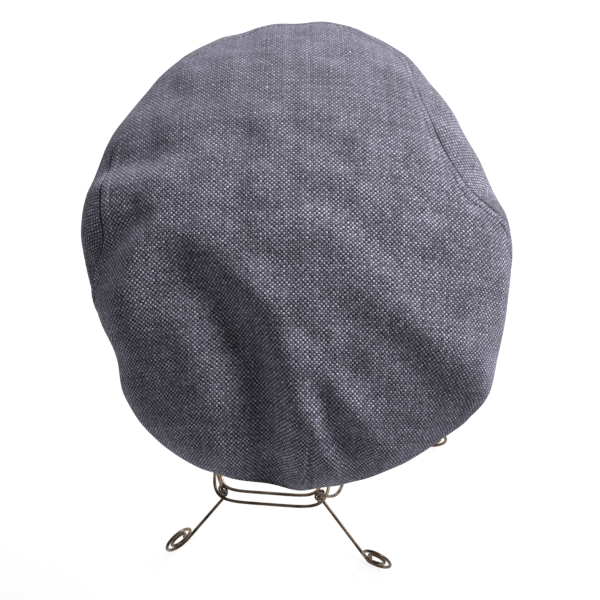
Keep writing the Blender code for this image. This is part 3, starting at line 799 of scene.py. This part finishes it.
# The weave's turn beside the dart grows from half way down the crown to the rim
crown_map = cloth_map(crown, crown_angles)
dart_foot = crown_map[CROWN_ROWS // 2, np.argmin(abs(crown_angles - DART_ANGLE))]
near_dart = np.exp(-((np.concatenate([dart_distance, dart_distance[-1:]]) / DART_REACH) ** 2))
turned_by = np.where(crown_angles < DART_ANGLE, DART_TURN_LEFT, DART_TURN_RIGHT) * near_dart
turned_by = np.radians(turned_by * smooth(np.concatenate([crown_down, crown_down[-1:]]) * 2 - 1))
offset = crown_map - dart_foot
crown_map = dart_foot + np.stack(
    [
        offset[..., 0] * np.cos(turned_by) - offset[..., 1] * np.sin(turned_by),
        offset[..., 0] * np.sin(turned_by) + offset[..., 1] * np.cos(turned_by),
    ],
    axis=-1,
)

rows, columns = crown.shape[:2]
pole = rows * columns
crown_faces = grid_faces(rows, columns, round_columns=True).tolist()
crown_faces += [(pole, j, (j + 1) % columns) for j in range(columns)]
crown_points = np.concatenate([crown.reshape(-1, 3), cap_surface(0.0, 0.0)[None]])
crown_map = np.concatenate([crown_map.reshape(-1, 2), [(0.0, 0.0)]])
crown_nap_and_sheen = nap_and_sheen_share(crown_points)
crown_top = make_piece(
    "crown_cloth", seated(crown_points), crown_faces, crown_tweed, crown_map, crown_nap_and_sheen
)
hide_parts("crown_top")


def thicken(piece, thickness):
    """Gives a sheet its thickness, inwards."""
    wall = piece.modifiers.new("thickness", "SOLIDIFY")
    wall.thickness = thickness
    wall.offset = -1


thicken(crown_top, CLOTH)
print("crown:", len(crown_faces), "faces")


# %% [markdown]
# The two side panels hang from the seam to the head's opening and meet at the back. They are cut across the
# cloth, so their weave lies on a slant, which is why they look smoother than the top.

# %% Side panels
PANEL_STEP = 1.2
PANEL_ROWS = 26
PANEL_CLOSE = 0.001 * np.array([0.0, 0.2, 0.5, 0.9, 1.4, 2.0, 3.2])
PANEL_FRONT = 60.0
PANEL_GRAIN = 45.0
BACK_GAP_SHARE = 0.2

back_gap = math.degrees(BACK_GAP_SHARE * SEAM_GAP / CROWN_BACK)
grain = math.radians(PANEL_GRAIN)
for name, side in (("side_panel_right", 1), ("side_panel_left", -1)):
    angles = side * np.append(np.arange(PANEL_FRONT, 180.0 - PANEL_STEP / 2, PANEL_STEP), 180.0 - back_gap)
    angles = np.sort(angles)
    down_length, slant = seam_scale(angles)
    start = seam_down(angles) + PANEL_BEGINS * SEAM_GAP * slant / down_length
    close = PANEL_CLOSE[:, None] * slant / down_length
    rest = np.linspace(0, 1, PANEL_ROWS + 1)[1:, None]
    downs = np.minimum(start + close, 2.0)
    downs = np.concatenate([downs, downs[-1] + (2.0 - downs[-1]) * rest])
    distance = (downs - start) * down_length / slant
    panel = cap_surface(angles[None], downs)
    panel_out = outward(angles[None], downs)
    panel = panel - panel_out * rolled_edge(distance)[..., None]
    panel = np.concatenate([panel[:1] - TUCK * panel_out[:1], panel])
    along = np.cumsum(np.append(0, np.linalg.norm(np.diff(panel[1], axis=0), axis=-1)))
    fall = np.cumsum(np.linalg.norm(np.diff(panel, axis=0, prepend=panel[:1]), axis=-1), axis=0)
    along = np.broadcast_to(along, fall.shape)
    panel_map = np.stack(
        [along * math.cos(grain) - fall * math.sin(grain), along * math.sin(grain) + fall * math.cos(grain)],
        axis=-1,
    )
    faces = grid_faces(*panel.shape[:2]).tolist()
    panel_nap_and_sheen = nap_and_sheen_share(panel)
    piece = make_piece(f"{name}_cloth", seated(panel), faces, crown_tweed, panel_map, panel_nap_and_sheen)
    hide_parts(name)
    thicken(piece, CLOTH)


# %% [markdown]
# The peak is a stiff board in the same cloth. The crown covers it almost to its edge, so only a thin lip
# shows. Its section is a flat strip with a round front edge, carried along the front of the head's opening.

# %% Peak
PEAK_STEPS = 121
PEAK_END = 85.0
PEAK_ACROSS = 14
PEAK_ROUND = 9
PEAK_STITCH = 0.0045

turn = np.linspace(-1, 1, PEAK_STEPS)
corner = np.radians(PEAK_END) * np.clip(2 * abs(turn) - 1, 0, 1)
straight = PEAK_FULL_ANGLE * np.clip(2 * abs(turn), 0, 1)
spread = np.sign(turn) * (straight + (PEAK_CORNER_ANGLE - PEAK_FULL_ANGLE) * np.sin(corner))
half = PEAK_BOARD / 2
normal = unit(np.array([PEAK_FALL, 1.0]))
along_board = np.array([normal[1], -normal[0]])
inner = head_reach(spread) - CLOTH
outer = head_reach(spread) + peak_width(spread) - half
share = np.linspace(0, 1, PEAK_ACROSS)
reach = inner[:, None] + (outer - inner)[:, None] * share
height = -PEAK_FALL * np.clip(reach - head_reach(spread)[:, None], 0, None)
from_edge = (outer[:, None] - reach) / along_board[0]
sink = STITCH_SINK * np.exp(-(((from_edge - PEAK_STITCH) / (2 * STITCH_WIDTH)) ** 2))
top = np.stack([reach, height], axis=-1) - normal * sink[..., None]
under = np.stack([reach, height], axis=-1) - normal * (PEAK_BOARD - sink)[..., None]
swing = np.linspace(0, math.pi, PEAK_ROUND + 2)[1:-1]
middle = top[:, -1:] * 0.5 + under[:, -1:] * 0.5
edge = middle + half * (np.cos(swing)[:, None] * normal + np.sin(swing)[:, None] * along_board)
section = np.concatenate([top, edge, under[:, ::-1]], axis=1)
way = bearing(spread)[:, None] * section[..., :1]
peak_points = np.concatenate([way, section[..., 1:]], axis=-1)

board_length = np.cumsum(np.append(0, np.linalg.norm(np.diff(peak_points[:, PEAK_ACROSS], axis=0), axis=-1)))
section_length = np.cumsum(np.linalg.norm(np.diff(section, axis=1, prepend=section[:, :1]), axis=-1), axis=1)
peak_map = np.stack([np.broadcast_to(board_length[:, None], section_length.shape), section_length], axis=-1)
count = peak_points.shape[1]
peak_faces = grid_faces(PEAK_STEPS, count, round_columns=True, flip=True).tolist()
peak_faces += [tuple(range(count)), tuple(range(PEAK_STEPS * count - 1, (PEAK_STEPS - 1) * count - 1, -1))]
peak = make_piece("peak_cloth", seated(peak_points), peak_faces, peak_tweed_shaded, peak_map)
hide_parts("peak")
print("peak:", len(peak_faces), "faces,", round(1000 * (outer - inner).max(), 1), "mm deep")


# %% [markdown]
# The stand is bent from wire of one gauge. Two arches cross under the crown and come down as four uprights.
# Each meets the wire rings at a corner, where a leg is lapped beside it and bound with thin wire. The legs
# end in scrolls. A wire is a circle carried along its path. Its two cross directions come from the path's
# direction and one fixed direction that the path never points along, so that the tube doesn't twist.

# %% Wire sizes and the tube
WIRE = 0.0025
BINDING_WIRE = 0.0015
BINDING_TURNS = 2
RING_HEIGHT = 0.028
RING_CORNER = 0.0535
RING_SIDE = 0.0458
INNER_RING_SIDE = 0.040
JOINT_ANGLE = -49.5
DOME_RADIUS = 0.080
DOME_ROUNDNESS = 2.6
UPRIGHT_SPRING = 9.0
LAP_BELOW = 0.0045
FOOT_REACH = 0.115
SCROLL_RADIUS = 0.0145
SCROLL_EYE = 0.0045
SCROLL_TURNS = 2.0
WIRE_SIDES = 16
END_ROUNDING = (0.4, 0.75, 1.0)
END_LEAST = 0.02


def tube(name, node, path, diameter, beside, finish, closed=False):
    """A round wire: at each point of the path a circle, centre + radius * (cos * first + sin * second). The
    ends of an open wire are rounded."""
    radius = diameter / 2
    if closed:
        ahead = unit(np.roll(path, -1, axis=0) - np.roll(path, 1, axis=0))
    else:
        ahead = unit(np.gradient(path, axis=0))
    radii = np.full(len(path), radius)
    if not closed:
        ends = np.array(END_ROUNDING)
        first = path[0] - ahead[0] * radius * ends[:, None]
        last = path[-1] + ahead[-1] * radius * ends[:, None]
        end_radii = radius * np.sqrt(np.clip(1 - ends**2, END_LEAST, 1))
        path = np.concatenate([first[::-1], path, last])
        before, after = (np.tile(ahead[i], (len(ends), 1)) for i in (0, -1))
        ahead = np.concatenate([before, ahead, after])
        radii = np.concatenate([end_radii[::-1], radii, end_radii])
    second = unit(np.cross(ahead, beside))
    first_way = np.cross(second, ahead)
    turn = np.linspace(0, 2 * math.pi, WIRE_SIDES, endpoint=False)
    circle = np.cos(turn)[None, :, None] * first_way[:, None] + np.sin(turn)[None, :, None] * second[:, None]
    points = path[:, None] + radii[:, None, None] * circle
    if closed:
        points = np.concatenate([points, points[:1]])
    faces = grid_faces(len(points), WIRE_SIDES, round_columns=True).tolist()
    last_row = (len(points) - 1) * WIRE_SIDES
    if closed:
        points = points[:-1]
        faces = [tuple(v - last_row if v >= last_row else v for v in face) for face in faces]
    else:
        faces.append(tuple(range(WIRE_SIDES)))
        faces.append(tuple(range(last_row + WIRE_SIDES - 1, last_row - 1, -1)))
    piece = make_piece(name, points, faces, finish)
    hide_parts(node)
    return len(faces)


# %% [markdown]
# The arches are flattened half circles. Their height comes from the frame, because it was set there so that
# the crown rests on them. Where they cross, one passes under the other.

# %% Arches and uprights
ARCH_STEPS = 97
UPRIGHT_STEPS = 40
FOOT_STEPS = 6
SPRING_WIRES = 4
stand_joints = [JOINT_ANGLE + 90.0 * i for i in range(4)]


def upright_reach(angle):
    """How far out an upright stands: DOME_RADIUS, or just inside the hem where that is nearer."""
    inset = CLOTH + WIRE / 2 + 2 * CLEARANCE
    inside = ellipse_reach(
        angle, HEAD_WIDTH / 2 - inset, HEAD_LENGTH / 2 - inset, HEAD_SET_BACK, (STAND_X, STAND_Y)
    )
    return min(DOME_RADIUS, float(inside) - WIRE)


def upright(angle):
    """One upright: straight up to SPRING_WIRES above the ring, then out, more slowly as it rises."""
    low = RING_HEIGHT - LAP_BELOW
    spring = RING_HEIGHT + SPRING_WIRES * WIRE
    share = np.linspace(0, 1, UPRIGHT_STEPS)[:-1] ** 2
    reach = RING_CORNER + (upright_reach(angle) - RING_CORNER) * (1 - (1 - share) ** UPRIGHT_SPRING)
    plan = stand_middle + bearing(angle) * reach[:, None]
    points = np.column_stack([plan, spring + (HEM_HEIGHT - spring) * share])
    foot_plan = np.tile(plan[0], (FOOT_STEPS, 1))
    foot = np.column_stack([foot_plan, np.linspace(low, spring, FOOT_STEPS + 1)[:-1]])
    return np.vstack([foot, points])


def arch_wire(name, front):
    """An arch: across = cos to the power 2 / roundness, up = sin to the same power."""
    near, far = upright_reach(front), upright_reach(front + 180.0)
    turn = np.linspace(0, math.pi, ARCH_STEPS)
    across = np.sign(np.cos(turn)) * abs(np.cos(turn)) ** (2 / DOME_ROUNDNESS)
    up = np.sin(turn) ** (2 / DOME_ROUNDNESS)
    place = (near - far) / 2 + (near + far) / 2 * across
    _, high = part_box(name)
    rise = high.z - WIRE / 2 - HEM_HEIGHT
    plan = stand_middle + bearing(front) * place[:, None]
    arch = np.column_stack([plan, HEM_HEIGHT + rise * up])
    route = np.vstack([upright(front), arch, upright(front + 180.0)[::-1]])
    beside = np.array([*bearing(front + 90.0), 0.0])
    faces = tube(f"{name}_steel", name, route, WIRE, beside, wire_steel)
    print(name, "rises", round(1000 * rise, 1), "mm above the hem,", faces, "faces")


arch_wire("dome_wire_over", stand_joints[1])
arch_wire("dome_wire_under", stand_joints[0])


# %% [markdown]
# Two wire squares with rounded corners hold the uprights apart, one outside them and one inside.

# %% Rings
RING_STEPS = 192
UP = np.array([0.0, 0.0, 1.0])


def ring_path(corner, side, height):
    """A superellipse of the given half diagonal and half side."""
    angles = JOINT_ANGLE + np.arange(RING_STEPS) * 360.0 / RING_STEPS
    squareness = 1 / (0.5 - math.log2(corner / side))
    turn = np.radians(angles - JOINT_ANGLE + 45.0)
    reach = side / (abs(np.cos(turn)) ** squareness + abs(np.sin(turn)) ** squareness) ** (1 / squareness)
    return np.column_stack([stand_middle + bearing(angles) * reach[:, None], np.full(RING_STEPS, height)])


beside_upright = WIRE + CLEARANCE
inner_height = RING_HEIGHT + WIRE + (BINDING_TURNS + 1) * (BINDING_WIRE + CLEARANCE)
outer_path = ring_path(RING_CORNER + beside_upright + 2 * CLEARANCE, RING_SIDE, RING_HEIGHT)
inner_path = ring_path(RING_CORNER - beside_upright, INNER_RING_SIDE, inner_height)
tube("ring_outer_steel", "ring_outer", outer_path, WIRE, UP, wire_steel, closed=True)
tube("ring_inner_steel", "ring_inner", inner_path, WIRE, UP, wire_steel, closed=True)
print("rings:", 2, "of", 1000 * WIRE, "mm wire")


# %% [markdown]
# The legs run from the uprights' feet to the floor and end in scrolls. A scroll is an arc whose radius
# shrinks as it winds in. Thin wire is wound round each leg and its upright.

# %% Legs and bindings
# Name, angle and reach (a share of FOOT_REACH) of the scroll's middle, and the way that its plane points
FEET = (
    ("front_left", -47.0, 0.87, -50.0),
    ("front_right", 43.0, 1.00, 65.0),
    ("back_right", 98.0, 1.13, 82.0),
    ("back_left", -133.0, 0.91, -133.0),
)
SCROLL_STEP = 6.0
SCROLL_START = 290.0
SCROLL_SHORT = 30.0
LAP_ABOVE_WIRES = 2.4
KNEE_WIRES = 2
LEAD_STEPS = 4
BEND_STEPS = 9
RUN_STEPS = 12
BINDING_STEPS = 24
BINDING_SLACK = 1.5


def lap_side(joint, angle, reach):
    """The way from an upright to the leg lapped beside it: the side of the joint that its foot is on."""
    across = bearing(joint + 90.0)
    return across if (bearing(angle) * reach) @ across >= 0 else -across


def leg_path(joint, angle, reach, facing):
    """Beside its upright, straight down to the foot, and rolled up there with a radius that falls evenly."""
    lap = stand_middle + bearing(joint) * RING_CORNER
    lap = lap + lap_side(joint, angle, reach) * (WIRE + CLEARANCE)
    centre = stand_middle + bearing(angle) * reach
    outer = SCROLL_RADIUS - WIRE / 2
    way = bearing(facing)
    knee = np.array([*lap, RING_HEIGHT - LAP_BELOW])
    hub = np.array([*centre, SCROLL_RADIUS])
    across, up = (knee - hub)[:2] @ way, (knee - hub)[2]
    start = math.degrees(math.atan2(up, across)) % 360.0
    start += math.degrees(math.acos(outer / math.hypot(across, up)))
    turn = start + np.arange(0.0, 360.0 * SCROLL_TURNS - SCROLL_SHORT + SCROLL_STEP, SCROLL_STEP)
    inward = np.clip((turn - SCROLL_START) / (turn[-1] - SCROLL_START), 0, 1)
    radius = outer - (outer - SCROLL_EYE) * inward
    flat = radius * np.cos(np.radians(turn))
    scroll = np.column_stack([centre + way * flat[:, None], hub[2] + radius * np.sin(np.radians(turn))])
    top = np.array([*lap, RING_HEIGHT + LAP_ABOVE_WIRES * WIRE])
    run = unit(scroll[0] - knee)
    before = knee + np.array([0, 0, LAP_BELOW / 2])
    after = knee + run * WIRE * KNEE_WIRES
    t = np.linspace(0, 1, BEND_STEPS)[:, None]
    bend = (1 - t) ** 2 * before + 2 * t * (1 - t) * knee + t**2 * after
    lead = top + (before - top) * np.linspace(0, 1, LEAD_STEPS + 1)[:-1, None]
    straight = after + (scroll[0] - after) * np.linspace(0, 1, RUN_STEPS + 2)[1:-1, None]
    return np.vstack([lead, bend, straight, scroll])


def binding_path(joint, side):
    """A helix with a long round section, wound round the lap of a leg and its upright."""
    middle = stand_middle + bearing(joint) * RING_CORNER + side * (WIRE + CLEARANCE) / 2
    short_side = WIRE / 2 + BINDING_WIRE / 2 + BINDING_SLACK * CLEARANCE
    long_side = short_side + (WIRE + CLEARANCE) / 2
    turn = np.radians(np.arange(BINDING_TURNS * BINDING_STEPS + 1) * 360.0 / BINDING_STEPS)
    plan = middle + bearing(joint + 90.0) * (long_side * np.cos(turn))[:, None]
    plan = plan + bearing(joint) * (short_side * np.sin(turn))[:, None]
    low = RING_HEIGHT + WIRE / 2 + BINDING_WIRE / 2 + CLEARANCE
    return np.column_stack([plan, low + (BINDING_WIRE + CLEARANCE) * turn / (2 * math.pi)])


for joint, (name, angle, share, facing) in zip(stand_joints, FEET):
    reach = share * FOOT_REACH
    path = leg_path(joint, angle, reach, facing)
    low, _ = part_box(f"leg_{name}")
    path[:, 2] += low.z - (path[:, 2].min() - WIRE / 2)
    beside = np.array([*bearing(facing + 90.0), 0.0])
    tube(f"leg_{name}_steel", f"leg_{name}", path, WIRE, beside, wire_steel)
    turns = binding_path(joint, lap_side(joint, angle, reach))
    tube(f"binding_{name}_steel", f"binding_{name}", turns, BINDING_WIRE, UP, binding_steel)
    print("leg", name, "points:", len(path))


# %% [markdown]
# The object stands on a back-lit sheet of white acrylic, which stays plain white in the picture and lights
# the cap softly from below. A broad lamp high on the right and behind gives the far side of the cloth its
# pale edge and leaves the near left lobe darker. A weak lamp in front on the left and a dim sky fill the rest.

# %% Floor and light
FLOOR_SIZE = 8.0
# The sheet's own colour is a middle grey, so that it is bright by its glow and shadows on it stay faint
FLOOR_COLOUR = "#6E6E6E"
GLOW_COLOUR = "#FFFFFF"
SKY_COLOUR = "#FFFFFF"
SKY_STRENGTH = 0.18
FLOOR_GLOW = 0.88
LAMPS = (
    ("key", (1.15, 0.98, 1.55), 1.2, 78.0),
    ("fill", (-0.9, -1.0, 1.5), 1.4, 0.8),
)

floor_mesh = bpy.data.meshes.new("floor")
far = FLOOR_SIZE / 2
floor_corners = [(-far, -far, 0), (far, -far, 0), (far, far, 0), (-far, far, 0)]
floor_mesh.from_pydata(floor_corners, [], [(0, 1, 2, 3)])
floor = bpy.data.objects.new("floor", floor_mesh)
bpy.context.scene.collection.objects.link(floor)
floor_finish, _, floor_shader = new_finish("back_lit_white_acrylic")
floor_shader.inputs["Base Color"].default_value = colour(FLOOR_COLOUR)
floor_shader.inputs["Roughness"].default_value = 0.9
floor_shader.inputs["Specular IOR Level"].default_value = 0.1
floor_shader.inputs["Emission Color"].default_value = colour(GLOW_COLOUR)
floor_shader.inputs["Emission Strength"].default_value = FLOOR_GLOW
floor_mesh.materials.append(floor_finish)

sky = bpy.data.worlds.new("studio")
sky.use_nodes = True
sky.node_tree.nodes["Background"].inputs["Color"].default_value = colour(SKY_COLOUR)
sky.node_tree.nodes["Background"].inputs["Strength"].default_value = SKY_STRENGTH
bpy.context.scene.world = sky

aim = np.array([0.0, 0.0, HEM_HEIGHT])
for name, place, size, power in LAMPS:
    lamp_data = bpy.data.lights.new(name, "AREA")
    lamp_data.shape = "DISK"
    lamp_data.size = size
    lamp_data.energy = power
    lamp = bpy.data.objects.new(name, lamp_data)
    lamp.location = place
    away = unit(np.array(place) - aim)
    lamp.rotation_euler = (math.acos(away[2]), 0.0, math.atan2(away[1], away[0]) + math.pi / 2)
    bpy.context.scene.collection.objects.link(lamp)
    print("lamp", name, power, "W")
bpy.context.scene.view_settings.view_transform = "Standard"
